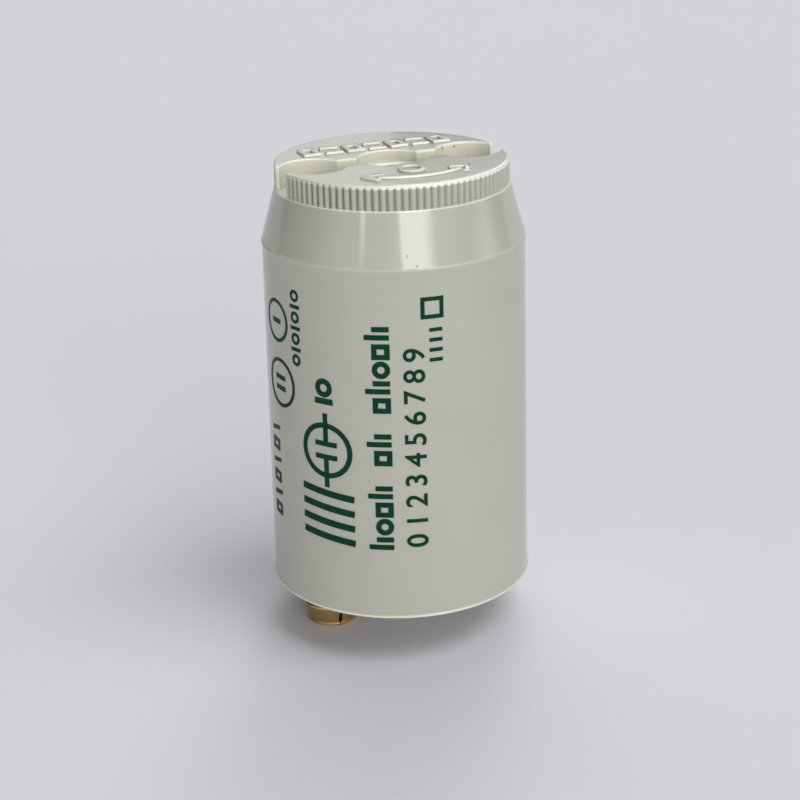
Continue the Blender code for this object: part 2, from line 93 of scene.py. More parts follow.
GROOVE_CREST_SHARE = 0.6
INNER_ROUNDS = (0.0005, 0.001, 0.0001, 0.0001, 0.0001, 0.0001, 0.0001)
OUTER_ROUNDS = (RIM_ROUND, LIP_PROUD, LIP_PROUD, 0.003, 0.0001, 0.00012)
WELD_DISTANCE = 2e-7
SHARP_ANGLE = math.radians(40)
PLASTIC_DARK = (0.338, 0.340, 0.293)
PLASTIC_LIGHT = (0.368, 0.372, 0.319)
# Painted light: paler plastic on the slot's walls, painted highlights on the foot's lip and shoulder
PLASTIC_PAINTED_LIGHT = (0.600, 0.600, 0.495)
# Painted highlight on the cap's edges, the raised marks' sides and the ledge round the knurl's foot
PLASTIC_PAINTED_HIGHLIGHT = (0.760, 0.760, 0.670)
# Painted shade in the bottom of the knurl's grooves
PLASTIC_PAINTED_SHADE = (0.215, 0.212, 0.165)
SPECK_COLOR = (0.120, 0.108, 0.080)
# Where each mask of painted light, painted highlight, painted shade or specks starts and ends, as a
# radius, a height or a distance
INSIDE_RADII = (CAP_RADIUS - 0.0002, CAP_RADIUS - 0.00027)
INSIDE_SLOT = (SLOT_HALF_WIDTH + 0.0003, SLOT_HALF_WIDTH + 0.0002)
WALL_UNDER_TOP = (TOP_Z - 0.00001, TOP_Z - 0.00006)
WALL_OVER_FLOOR = (CONE_TOP_Z, CONE_TOP_Z + 0.0001)
LIP_FADE = (RIM_Z + 0.0003, RIM_Z + 0.00015)
SHOULDER_RISE = (SHOULDER_Z - 0.00022, SHOULDER_Z - 0.0001)
SHOULDER_FALL = (SHOULDER_Z + 0.00012, SHOULDER_Z)
SHOULDER_SHARE = 0.22
RIM_EDGE_RADII = (CAP_RADIUS - 0.0003, CAP_RADIUS - 0.00022)
RIM_EDGE_HEIGHTS = (TOP_Z - 0.00036, TOP_Z - 0.00018)
RIM_EDGE_RIGHTWARDS = (-0.0085, -0.003)
RIM_EDGE_SHARES = (0.55, 0.25)
WALL_EDGE_RISE = (TOP_Z - 0.0002, TOP_Z - 0.00012)
WALL_EDGE_FALL = (TOP_Z - 0.00001, TOP_Z - 0.00003)
MARK_SIDE_RISE = (TOP_Z + 0.00001, TOP_Z + 0.00006)
MARK_SIDE_FALL = (TOP_Z + 0.000195, TOP_Z + 0.00017)
LEDGE_RISE = (CONE_TOP_Z - 0.00012, CONE_TOP_Z - 0.00004)
LEDGE_FALL = (CONE_TOP_Z + 0.00004, CONE_TOP_Z + 0.00001)
LEDGE_SHARE = 0.6
KNURL_SHADE_INWARDS = (CAP_RADIUS - 0.00005, CAP_RADIUS - 0.00016)
KNURL_SHADE_OUTWARDS = (CAP_RADIUS - 0.0004, CAP_RADIUS - 0.00035)
KNURL_SHADE_UNDER_TOP = (TOP_Z - 0.0001, TOP_Z - 0.00045)
KNURL_SHADE_OVER_FOOT = (CONE_TOP_Z, CONE_TOP_Z + 0.00005)
KNURL_SHADE_BESIDE_SLOT = (SLOT_HALF_WIDTH + 0.0002, SLOT_HALF_WIDTH + 0.0004)
KNURL_SHADE_LEFTWARDS = (0.002, -0.0085)
KNURL_SHADE_SHARES = (0.85, 0.1)
SPECK_FADE = (1.0, 0.3)
# Specks and small scars: centre, then reach round the body and upwards
SPECKS = (
    ((-0.01066, 0.00129, 0.00504), 0.00034, 0.00013),
    ((-0.00771, -0.00745, 0.00766), 0.00010, 0.00013),
    ((-0.01072, -0.00075, 0.00431), 0.00024, 0.00010),
    ((-0.00199, -0.01026, 0.03306), 0.00016, 0.00014),
    ((-0.00263, -0.00989, 0.03381), 0.00007, 0.00045),
    ((0.00524, 0.00229, 0.03866), 0.00009, 0.00022),
    ((0.00641, 0.00263, 0.03859), 0.00014, 0.00010))


def rounded(corners, radii, steps=6):
    """A profile with rounded corners.

    Each inner corner gives way to an arc that touches both of its sides. The arc starts before the
    corner by its radius times the tangent of half the turn there. A radius of 0 keeps the corner.
    """
    corners = np.array(corners, float)
    points = [corners[:1]]
    for before, corner, after, radius in zip(corners, corners[1:], corners[2:], radii):
        into = (corner - before) / np.linalg.norm(corner - before)
        out = (after - corner) / np.linalg.norm(after - corner)
        if radius == 0:
            points.append(corner[None])
            continue
        turn = np.arccos(np.clip(into @ out, -1, 1))
        side = np.sign(into[0] * out[1] - into[1] * out[0])
        normal = side * np.array([-into[1], into[0]])
        centre = corner - into * radius * np.tan(turn / 2) + normal * radius
        angle = np.linspace(0, turn, steps + 1)[:, None]
        points.append(centre - normal * radius * np.cos(angle) + into * radius * np.sin(angle))
    points.append(corners[-1:])
    return np.concatenate(points)


def turned(profile, angles):
    """Points of a turned surface: every radius and height of the profile at every angle about Z."""
    radius, height = profile[:, 0, None], profile[:, 1, None]
    return np.stack([radius * np.cos(angles), radius * np.sin(angles), height + 0 * angles], axis=-1)


def grid_faces(rows, columns, loop=False):
    """Quads between neighbours on a grid of points. In a loop the last column joins the first."""
    index = np.arange(rows * columns).reshape(rows, columns)
    if loop:
        index = np.concatenate([index, index[:, :1]], axis=1)
    quads = np.stack([index[:-1, :-1], index[:-1, 1:], index[1:, 1:], index[1:, :-1]], axis=-1)
    return quads.reshape(-1, 4)


def between_rings(inner_angle, outer_angle):
    """Triangles between two rings of points, the inner one's first, each in order of angle.

    Every edge of a ring joins the point of the other ring that lies last before the edge's end.
    """
    full = 2 * np.pi
    count, other = len(inner_angle), len(outer_angle)
    inner_all = np.concatenate([inner_angle - full, inner_angle, inner_angle + full])
    outer_all = np.concatenate([outer_angle - full, outer_angle, outer_angle + full])
    start = np.arange(count)
    passed = np.searchsorted(outer_all, inner_all[count + start + 1], side="right") - 1
    inner_faces = np.stack([start, (start + 1) % count, count + passed % other], axis=-1)
    start = np.arange(other)
    passed = np.searchsorted(inner_all, outer_all[other + start + 1], side="left") - 1
    outer_faces = np.stack([count + start, count + (start + 1) % other, passed % count], axis=-1)
    return np.concatenate([inner_faces, outer_faces])


def add_piece(name, patches, material):
    """A closed object from patches of points and faces whose edges meet.

    Points less than 0.2 micrometres apart become one, and the faces are turned outwards. Edges
    sharper than 40 degrees stay crisp, and flat faces keep flat shading.
    """
    points, faces, start = [], [], 0
    for patch, patch_faces in patches:
        points.append(patch.reshape(-1, 3))
        faces += (patch_faces + start).tolist()
        start += len(points[-1])
    mesh = bpy.data.meshes.new(name)
    mesh.from_pydata(np.concatenate(points).tolist(), [], faces)
    shape = bmesh.new()
    shape.from_mesh(mesh)
    bmesh.ops.remove_doubles(shape, verts=shape.verts, dist=WELD_DISTANCE)
    bmesh.ops.recalc_face_normals(shape, faces=shape.faces)
    shape.to_mesh(mesh)
    shape.free()
    mesh.materials.append(material)
    mesh.shade_smooth()
    mesh.set_sharp_from_angle(angle=SHARP_ANGLE)
    piece = bpy.data.objects.new(name, mesh)
    bpy.context.scene.collection.objects.link(piece)
    flat_faces = piece.modifiers.new("flat_faces", "WEIGHTED_NORMAL")
    flat_faces.keep_sharp = True
    return piece


def smoothstep(value):
    """From 0 to 1, level at both ends: 3 squares less 2 cubes of the value held between them."""
    share = np.clip(value, 0, 1)
    return share * share * (3 - 2 * share)


# Centre of the arc that rounds each corner where the slot meets the rim
corner_centre = np.array([0, SLOT_HALF_WIDTH + SLOT_CORNER_ROUND])
corner_centre[0] = math.sqrt((CAP_RADIUS - SLOT_CORNER_ROUND) ** 2 - corner_centre[1] ** 2)
corner_angle = math.atan2(corner_centre[1], corner_centre[0])


def slot_half_width(along, spread, step_reach, middle_radius):
    """Half the width of the cap's slot at a place along it.

    It is the widest of the plain slot and the round pockets, all grown by spread, with the corners
    between them softened. The middle pocket reaches no further past the plain slot than step_reach.
    Past the corner's centre the slot widens by the corner's radius less its circle's height there.
    """
    past = np.maximum(np.abs(along) - corner_centre[0], 0)
    plain = corner_centre[1] - np.sqrt(np.maximum((SLOT_CORNER_ROUND - spread) ** 2 - past ** 2, 0))
    end_offset = np.abs(along) - END_POCKET_OFFSET
    end = np.sqrt(np.maximum((END_POCKET_RADIUS + spread) ** 2 - end_offset ** 2, 0))
    middle = np.sqrt(np.maximum((middle_radius + spread) ** 2 - along ** 2, 0))
    pocket = np.maximum(end, np.minimum(middle, plain + step_reach))
    return (plain + pocket + np.sqrt((plain - pocket) ** 2 + CORNER_SOFTNESS ** 2)) / 2


def cap_half():
    """Rows of points up the side of one half of the cap, first along its slot, then round its rim.

    The rows climb the wall, step out over the middle pocket's floor, and end in a quarter round whose
    depth and inward reach are its radius times 1 less the sine and 1 less the cosine of its angle.
    A groove's depth is 1 less the size of the sine of the flutes' phase, to the power of 1.15.
    """
    step, part = POCKET_STEP_ROUND, POCKET_STEP_SHARE * POCKET_STEP_ROUND
    floor, full = MIDDLE_POCKET_DEPTH, MIDDLE_POCKET_RADIUS
    depth = np.array([TOP_Z - CONE_TOP_Z, LOW_WALL_DEPTH, floor + step, floor + part, floor, floor,
                      floor - part, floor - step, *HIGH_WALL_DEPTHS])
    step_reach = np.array([0, 0, 0, part, step, full, full, full, full, full, full])
    middle_radius = full - np.array([0, 0, 0, 0, 0, step, part, 0, 0, 0, 0])
    bend = np.radians(np.linspace(0, 90, EDGE_ROWS))
    step_reach = np.append(step_reach, np.full(len(bend), full))[:, None]
    middle_radius = np.append(middle_radius, np.full(len(bend), full))[:, None]

    def rows(edge_round):
        """Depth and inward reach of every row, with the quarter round at the top."""
        wall = depth[:, None] + 0 * edge_round
        rise = edge_round * (1 - np.sin(bend))[:, None]
        reach = edge_round * (1 - np.cos(bend))[:, None]
        return np.concatenate([wall, rise]), np.concatenate([0 * wall, reach])

    _, corner_reach = rows(np.array([SLOT_EDGE_ROUND]))
    slot_end = corner_centre[0] * (CAP_RADIUS - corner_reach) / (CAP_RADIUS - SLOT_CORNER_ROUND)
    per_flute = 2 * np.pi / (FLUTE_COUNT * FLUTE_SAMPLES)
    first = math.ceil(corner_angle / per_flute)
    angle = np.arange(first, FLUTE_COUNT * FLUTE_SAMPLES // 2 - first + 1) * per_flute
    count = len(angle) + 2

    # Along the slot, at equal steps of the top edge's length
    fine = np.linspace(-slot_end[0], slot_end[0], SLOT_SAMPLES).ravel()
    edge = slot_half_width(fine, 0, full, full)
    length = np.append(0, np.cumsum(np.hypot(np.diff(fine), np.diff(edge))))
    along = np.interp(np.linspace(0, length[-1], count), length, fine) * slot_end / slot_end[0]
    slot_depth, reach = rows(np.full(count, SLOT_EDGE_ROUND))
    across = slot_half_width(along, reach, step_reach, middle_radius)
    slot = np.stack([along, across, TOP_Z - slot_depth], axis=-1)

    # Round the rim, back from the slot's right end to its left end
    from_corner = (np.minimum(angle, np.pi - angle) - corner_angle) * CAP_RADIUS
    wide = smoothstep(from_corner / WIDE_ROUND_REACH)
    rim_depth, reach = rows(SLOT_EDGE_ROUND + (CAP_EDGE_ROUND - SLOT_EDGE_ROUND) * wide)
    groove = (1 - np.abs(np.sin(angle * FLUTE_COUNT / 2))) ** GROOVE_POWER
    faded = smoothstep((rim_depth - FLUTE_FADE_START) / FLUTE_FADE_LENGTH)
    radius = CAP_RADIUS - reach - FLUTE_DEPTH * groove * faded * smoothstep(from_corner / FULL_FLUTE_REACH)
    rim = np.stack([radius * np.cos(angle), radius * np.sin(angle), TOP_Z - rim_depth], axis=-1)
    return slot, rim


def cap_patches():
    """Walls and tops of the cap's two halves, the slot's floor, and the ledge round the cap's foot."""
    slot, rim = cap_half()
    rows, count = slot.shape[:2]
    half_turn = np.array([-1, -1, 1])
    side = np.concatenate([slot, rim], axis=1)
    share = smoothstep(np.linspace(0, 1, TOP_ROWS))[:, None, None]
    rim_top = np.concatenate([slot[-1, :1], rim[-1, ::-1], slot[-1, -1:]])
    top = slot[-1] + (rim_top - slot[-1]) * share
    patches = []
    for way in (np.ones(3), half_turn):
        patches.append((side * way, grid_faces(rows, side.shape[1], loop=True)))
        patches.append((top * way, grid_faces(TOP_ROWS, count)))

    share = np.linspace(1, -1, FLOOR_COLUMNS)[:, None, None]
    floor = slot[0] * np.concatenate([0 * share + 1, share, 0 * share + 1], axis=-1)
    patches.append((floor, grid_faces(FLOOR_COLUMNS, count)))

    left_end = floor[:, 0]
    foot = np.concatenate([rim[0], left_end, rim[0] * half_turn, left_end * half_turn])
    foot_angle = np.arctan2(foot[:, 1], foot[:, 0])
    order = np.argsort(foot_angle)
    outer_angle = np.arange(BODY_COUNT) * 2 * np.pi / BODY_COUNT - np.pi
    ledge_edge = turned(np.array([[CONE_TOP_RADIUS, CONE_TOP_Z]]), outer_angle)[0]
    ledge = np.concatenate([foot[order], ledge_edge])
    patches.append((ledge, between_rings(foot_angle[order], outer_angle)))
    return patches


def taper_radius(height):
    """The body's outer radius, which falls evenly from its rim to its shoulder."""
    share = (height - RIM_Z) / (SHOULDER_Z - RIM_Z)
    return RIM_RADIUS + (SHOULDER_RADIUS - RIM_RADIUS) * share


def canister_profile():
    """The canister's section from the middle of its roof down inside, round the rim and up outside."""
    inner_shoulder = SHOULDER_RADIUS - WALL
    roof_radius = SHOULDER_RADIUS - (SHOULDER_RADIUS - CONE_TOP_RADIUS) * ROOF_INSET_SHARE - WALL
    half, crest = GROOVE_HALF_WIDTH, GROOVE_HALF_WIDTH * GROOVE_CREST_SHARE
    inside = rounded([(0, ROOF_Z), (roof_radius, ROOF_Z), (inner_shoulder, SHOULDER_Z),
                      (MOUTH_RADIUS, GROOVE_Z + half), (MOUTH_RADIUS + GROOVE_DEPTH, GROOVE_Z + crest),
                      (MOUTH_RADIUS + GROOVE_DEPTH, GROOVE_Z - crest), (MOUTH_RADIUS, GROOVE_Z - half),
                      (MOUTH_RADIUS, RIM_Z), (RIM_RADIUS - WALL / 2, RIM_Z)],
                     INNER_ROUNDS, steps=3)
    lip_top = RIM_Z + LIP_HEIGHT
    outside = rounded([(RIM_RADIUS - WALL / 2, RIM_Z), (RIM_RADIUS, RIM_Z), (RIM_RADIUS, lip_top),
                       (RIM_RADIUS - LIP_PROUD, lip_top + LIP_PROUD),
                       (taper_radius(BEAD_FOOT_Z), BEAD_FOOT_Z),
                       (SHOULDER_RADIUS + BEAD_PROUD, BEAD_TOP_Z), (SHOULDER_RADIUS, SHOULDER_Z),
                       (CONE_TOP_RADIUS, CONE_TOP_Z)],
                      OUTER_ROUNDS)
    return np.concatenate([inside, outside[1:]])


def link(tree, source, target):
    """Joins one node's output to another's input, each given as a node and a socket's name."""
    tree.links.new(source[0].outputs[source[1]], target[0].inputs[target[1]])


def uneven_surface():
    """Shader group: slow patches and fine grain, each from 0 to 1, at scales in turns per metre."""
    group = bpy.data.node_groups.new("uneven_surface", "ShaderNodeTree")
    for socket in ("Patch Scale", "Grain Scale"):
        group.interface.new_socket(socket, in_out="INPUT", socket_type="NodeSocketFloat")
    for socket in ("Patches", "Grain"):
        group.interface.new_socket(socket, in_out="OUTPUT", socket_type="NodeSocketFloat")
    start = group.nodes.new("NodeGroupInput")
    end = group.nodes.new("NodeGroupOutput")
    place = group.nodes.new("ShaderNodeTexCoord")
    for scale, output, detail in (("Patch Scale", "Patches", 3.0), ("Grain Scale", "Grain", 2.0)):
        noise = group.nodes.new("ShaderNodeTexNoise")
        noise.inputs["Detail"].default_value = detail
        link(group, (place, "Object"), (noise, "Vector"))
        link(group, (start, scale), (noise, "Scale"))
        link(group, (noise, "Fac"), (end, output))
    return group


def surface_material(name, dark, light, roughness, patch_scale, grain_scale, bump, shader_values=()):
    """A material whose colour and roughness drift between two values in patches, with grain as bump."""
    material = bpy.data.materials.new(name)
    material.use_nodes = True
    tree = material.node_tree
    shader = tree.nodes["Principled BSDF"]
    for socket, value in shader_values:
        shader.inputs[socket].default_value = value
    surface = tree.nodes.new("ShaderNodeGroup")
    surface.node_tree = uneven
    surface.inputs["Patch Scale"].default_value = patch_scale
    surface.inputs["Grain Scale"].default_value = grain_scale
    color = tree.nodes.new("ShaderNodeMix")
    color.data_type = "RGBA"
    color.inputs["A"].default_value = (*dark, 1)
    color.inputs["B"].default_value = (*light, 1)
    rough = tree.nodes.new("ShaderNodeMapRange")
    rough.inputs["To Min"].default_value = roughness[0]
    rough.inputs["To Max"].default_value = roughness[1]
    relief = tree.nodes.new("ShaderNodeBump")
    relief.inputs["Distance"].default_value = bump
    link(tree, (surface, "Patches"), (color, "Factor"))
    link(tree, (surface, "Patches"), (rough, "Value"))
    link(tree, (surface, "Grain"), (relief, "Height"))
    tree.links.new(color.outputs[2], shader.inputs["Base Color"])
    link(tree, (rough, "Result"), (shader, "Roughness"))
    link(tree, (relief, "Normal"), (shader, "Normal"))
    return material


def worked_out(tree, operation, *values):
    """A Math node's result on numbers or other nodes' outputs."""
    node = tree.nodes.new("ShaderNodeMath")
    node.operation = operation
    for socket, value in zip(node.inputs, values):
        if isinstance(value, (int, float)):
            socket.default_value = value
        else:
            tree.links.new(value, socket)
    return node.outputs[0]


def soft_step(tree, value, start, end):
    """0 where the value is at start and 1 where it is at end, with a smooth rise between them."""
    node = tree.nodes.new("ShaderNodeMapRange")
    node.interpolation_type = "SMOOTHSTEP"
    node.inputs["From Min"].default_value = start
    node.inputs["From Max"].default_value = end
    tree.links.new(value, node.inputs["Value"])
    return node.outputs["Result"]


def band(tree, value, rise, fall):
    """The product of two soft steps: one over the pair of values rise, the other over the pair fall."""
    return worked_out(tree, "MULTIPLY", soft_step(tree, value, *rise), soft_step(tree, value, *fall))


def mixed_in(tree, shader, mask, color):
    """Lays a colour over what the shader's base colour is so far, as far as the mask says."""
    mix = tree.nodes.new("ShaderNodeMix")
    mix.data_type = "RGBA"
    before = shader.inputs["Base Color"].links[0].from_node.outputs[2]
    mix.inputs["B"].default_value = (*color, 1)
    tree.links.new(mask, mix.inputs["Factor"])
    tree.links.new(before, mix.inputs["A"])
    tree.links.new(mix.outputs[2], shader.inputs["Base Color"])


def shade_housing(tree):
    """Painted light on walls, painted highlights on edges, painted shade in the knurls, and dark specks.

    Each mask is a product of soft steps of the height, the distance from the axis and the distance
    from the slot's middle plane. A speck's mask falls from 1 to 0 with the distance from its centre.
    """
    place = tree.nodes.new("ShaderNodeTexCoord").outputs["Object"]
    axes = tree.nodes.new("ShaderNodeSeparateXYZ")
    tree.links.new(place, axes.inputs["Vector"])
    height = axes.outputs["Z"]
    squares = [worked_out(tree, "POWER", axes.outputs[axis], 2.0) for axis in "XY"]
    radius = worked_out(tree, "SQRT", worked_out(tree, "ADD", *squares))
    across = worked_out(tree, "ABSOLUTE", axes.outputs["Y"])

    # Painted light on the slot and pocket walls below the cap's top, and painted highlights on the
    # thin lip round the foot and as a line at the shoulder
    inside = worked_out(tree, "MAXIMUM", soft_step(tree, radius, *INSIDE_RADII),
                        soft_step(tree, across, *INSIDE_SLOT))
    walls = worked_out(tree, "MULTIPLY", inside, band(tree, height, WALL_UNDER_TOP, WALL_OVER_FLOOR))
    lip = soft_step(tree, height, *LIP_FADE)
    shoulder = band(tree, height, SHOULDER_RISE, SHOULDER_FALL)
    shoulder = worked_out(tree, "MULTIPLY", shoulder, SHOULDER_SHARE)
    painted_light = worked_out(tree, "MAXIMUM", worked_out(tree, "MAXIMUM", walls, lip), shoulder)
    shader = tree.nodes["Principled BSDF"]
    mixed_in(tree, shader, painted_light, PLASTIC_PAINTED_LIGHT)

    # Painted highlight on the upper edge of the knurled rim, less of it at the shaded left
    edge = worked_out(tree, "MULTIPLY", soft_step(tree, radius, *RIM_EDGE_RADII),
                      soft_step(tree, height, *RIM_EDGE_HEIGHTS))
    rightwards = soft_step(tree, axes.outputs["X"], *RIM_EDGE_RIGHTWARDS)
    rightwards = worked_out(tree, "MULTIPLY_ADD", rightwards, *RIM_EDGE_SHARES)
    edge = worked_out(tree, "MULTIPLY", edge, rightwards)
    # Painted highlights on the slot walls' upper edge, the raised marks' sides and the knurl's ledge
    wall_edge = worked_out(tree, "MULTIPLY", inside, band(tree, height, WALL_EDGE_RISE, WALL_EDGE_FALL))
    raised = band(tree, height, MARK_SIDE_RISE, MARK_SIDE_FALL)
    ledge = worked_out(tree, "MULTIPLY", band(tree, height, LEDGE_RISE, LEDGE_FALL), LEDGE_SHARE)
    painted_highlight = worked_out(tree, "MAXIMUM", worked_out(tree, "MAXIMUM", edge, wall_edge),
                        worked_out(tree, "MAXIMUM", raised, ledge))
    mixed_in(tree, shader, painted_highlight, PLASTIC_PAINTED_HIGHLIGHT)

    # Painted shade at the bottom of the knurl's grooves, more of it at the shaded left
    knurl_shade = worked_out(tree, "MULTIPLY", band(tree, radius, KNURL_SHADE_INWARDS, KNURL_SHADE_OUTWARDS),
                       band(tree, height, KNURL_SHADE_UNDER_TOP, KNURL_SHADE_OVER_FOOT))
    knurl_shade = worked_out(tree, "MULTIPLY", knurl_shade, soft_step(tree, across, *KNURL_SHADE_BESIDE_SLOT))
    leftwards = soft_step(tree, axes.outputs["X"], *KNURL_SHADE_LEFTWARDS)
    leftwards = worked_out(tree, "MULTIPLY_ADD", leftwards, *KNURL_SHADE_SHARES)
    knurl_shade = worked_out(tree, "MULTIPLY", knurl_shade, leftwards)
    mixed_in(tree, shader, knurl_shade, PLASTIC_PAINTED_SHADE)

    spots = 0.0
    for centre, girth_reach, height_reach in SPECKS:
        offset = tree.nodes.new("ShaderNodeVectorMath")
        offset.operation = "SUBTRACT"
        offset.inputs[1].default_value = centre
        tree.links.new(place, offset.inputs[0])
        scaled = tree.nodes.new("ShaderNodeVectorMath")
        scaled.operation = "MULTIPLY"
        scaled.inputs[1].default_value = (1 / girth_reach, 1 / girth_reach, 1 / height_reach)
        tree.links.new(offset.outputs["Vector"], scaled.inputs[0])
        distance = tree.nodes.new("ShaderNodeVectorMath")
        distance.operation = "LENGTH"
        tree.links.new(scaled.outputs["Vector"], distance.inputs[0])
        spots = worked_out(tree, "MAXIMUM", spots, soft_step(tree, distance.outputs["Value"], *SPECK_FADE))
    mixed_in(tree, shader, spots, SPECK_COLOR)


uneven = uneven_surface()
housing = surface_material("housing_plastic", PLASTIC_DARK, PLASTIC_LIGHT, roughness=(0.06, 0.11),
                           patch_scale=260, grain_scale=5200, bump=0.000002)
shade_housing(housing.node_tree)
body_angles = np.arange(BODY_COUNT) * 2 * np.pi / BODY_COUNT - np.pi
body = turned(canister_profile(), body_angles)
patches = [(body, grid_faces(len(body), BODY_COUNT, loop=True))] + cap_patches()
canister = add_piece("canister_moulding", patches, housing)
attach(canister, "root")
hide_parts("canister")


# Raised marks: part of the same moulding. They stand on the cap's top: a row of plain frames and bars
# beyond the slot, and a ring and a turning arrow before it.
MARK_HEIGHT = 0.0002
MARK_SUNK = 0.00005
MARK_ROUND = 0.00006
MARK_STROKE = 0.0004
MARK_COUNT = 7
MARK_PITCH = 0.00183
MARK_WIDTH = 0.00144
MARK_LENGTH = 0.00205
MARK_ROW_OFFSET = 0.00402
ARROW_RADIUS = 0.0068
ARROW_SWEEP = math.radians(58.0)
ARROW_HEAD = 0.0018
ARROW_TIP_SHARE = 0.6
ARROW_BARB_SWEEP = 0.0002
ARROW_POINTS = 40
RING_RADIUS = 0.0009
RING_OFFSET = 0.0044
RING_POINTS = 45
MARK_ROUND_POINTS = 4


def swept(path, across, up, loop=False):
    """A flat path's points with one cross-section at each, given by its reach across and its height.

    Across runs square to the path's direction. At a corner it grows by 1 over the cosine of half the
    turn, so that the sides stay parallel.
    """
    if loop:
        before, after = path - np.roll(path, 1, axis=0), np.roll(path, -1, axis=0) - path
    else:
        step = np.diff(path, axis=0)
        before, after = np.concatenate([step[:1], step]), np.concatenate([step, step[-1:]])
    before = before / np.linalg.norm(before, axis=1, keepdims=True)
    after = after / np.linalg.norm(after, axis=1, keepdims=True)
    side = np.stack([-(before + after)[:, 1], (before + after)[:, 0]], axis=-1)
    half_turn = np.linalg.norm(side, axis=1, keepdims=True) / 2
    side = side / (2 * half_turn * half_turn)
    flat = path[:, None] + side[:, None] * across[:, None]
    height = np.broadcast_to(up, flat.shape[:2])
    return np.concatenate([flat, height[..., None]], axis=-1)


def stroke_faces(rows, columns, loop=False):
    """Faces of a swept solid: its sides, and unless it is a loop its two ends as fans of quads."""
    sides = grid_faces(rows, columns, loop=True)
    if loop:
        last = np.arange(columns) + (rows - 1) * columns
        first = np.arange(columns)
        closing = np.stack([last, np.roll(last, -1), np.roll(first, -1), first], axis=-1)
        return np.concatenate([sides, closing])
    low = np.arange(columns // 2 - 1)
    end = np.stack([low, low + 1, columns - 2 - low, columns - 1 - low], axis=-1)
    return np.concatenate([sides, end, end + (rows - 1) * columns])


def raised_stroke(path, loop=False):
    """A raised stroke along a flat path, with upright sides that start below the cap's top.

    A quarter round breaks each top edge: its inward reach and its fall are its radius times 1 less
    the cosine and 1 less the sine of its angle. At an open end the top falls away in the same way.
    """
    bend = np.radians(np.linspace(0, 90, MARK_ROUND_POINTS))
    reach, top = MARK_ROUND * (1 - np.cos(bend)), MARK_HEIGHT - MARK_ROUND * (1 - np.sin(bend))
    half = MARK_STROKE / 2 - reach
    across = np.concatenate([[-MARK_STROKE / 2], -half, half[::-1], [MARK_STROKE / 2]])
    up = np.concatenate([[-MARK_SUNK], top, top[::-1], [-MARK_SUNK]])
    path = np.array(path, float)
    limit = np.full(len(path), MARK_HEIGHT)
    if not loop:
        inward = reach[:, None]
        first = (path[1] - path[0]) / np.linalg.norm(path[1] - path[0])
        last = (path[-2] - path[-1]) / np.linalg.norm(path[-2] - path[-1])
        inner = path[1:-1]
        path = np.concatenate([path[0] + first * inward, inner, (path[-1] + last * inward)[::-1]])
        limit = np.concatenate([top, np.full(len(inner), MARK_HEIGHT), top[::-1]])
    points = swept(path, across, np.minimum(up, limit[:, None]), loop)
    return points, stroke_faces(len(path), len(across), loop)


def arc_path(centre, radius, start, end, count):
    """Points on an arc between two angles in degrees."""
    angle = np.radians(np.linspace(start, end, count))
    return np.stack([centre[0] + radius * np.cos(angle), centre[1] + radius * np.sin(angle)], axis=-1)


def rectangle_path(x, y, width, length):
    """The four corners of a rectangle about a point."""
    corners = np.array([(-1, -1), (1, -1), (1, 1), (-1, 1)])
    return np.array([(x, y)]) + corners * (width / 2, length / 2)


# Row beyond the slot: frames, and pairs of bars between them
mark_strokes = []
inset = MARK_STROKE / 2
for number in range(MARK_COUNT):
    x = (number - (MARK_COUNT - 1) / 2) * MARK_PITCH
    if number % 2:
        for y in (MARK_ROW_OFFSET - MARK_LENGTH / 2 + inset, MARK_ROW_OFFSET + MARK_LENGTH / 2 - inset):
            mark_strokes.append(raised_stroke([(x - MARK_WIDTH / 2, y), (x + MARK_WIDTH / 2, y)]))
    else:
        frame_path = rectangle_path(x, MARK_ROW_OFFSET, MARK_WIDTH - MARK_STROKE, MARK_LENGTH - MARK_STROKE)
        mark_strokes.append(raised_stroke(frame_path, loop=True))
# Turning arrow with a head at each end, and the ring inside its bend
half_sweep = math.degrees(ARROW_SWEEP) / 2
arrow_path = arc_path((0, 0), ARROW_RADIUS, -90 - half_sweep, -90 + half_sweep, ARROW_POINTS)
mark_strokes.append(raised_stroke(arrow_path))
for way in (-1, 1):
    tip_angle = math.radians(-90 + way * half_sweep)
    outward = np.array([math.cos(tip_angle), math.sin(tip_angle)])
    forward = np.array([-math.sin(tip_angle), math.cos(tip_angle)]) * way
    base = outward * ARROW_RADIUS
    tip = base + forward * ARROW_HEAD * ARROW_TIP_SHARE
    half_head, swept_back = outward * ARROW_HEAD / 2, forward * ARROW_BARB_SWEEP
    mark_strokes.append(raised_stroke([base + half_head - swept_back, tip, base - half_head - swept_back]))
last_angle = 360 - 360 / RING_POINTS
ring_path = arc_path((0, -RING_OFFSET), RING_RADIUS, 0, last_angle, RING_POINTS)
mark_strokes.append(raised_stroke(ring_path, loop=True))
mark_patches = [(np.array([0, 0, TOP_Z]) + points, faces) for points, faces in mark_strokes]
cap_marks = add_piece("cap_marks", mark_patches, housing)
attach(cap_marks, "root")


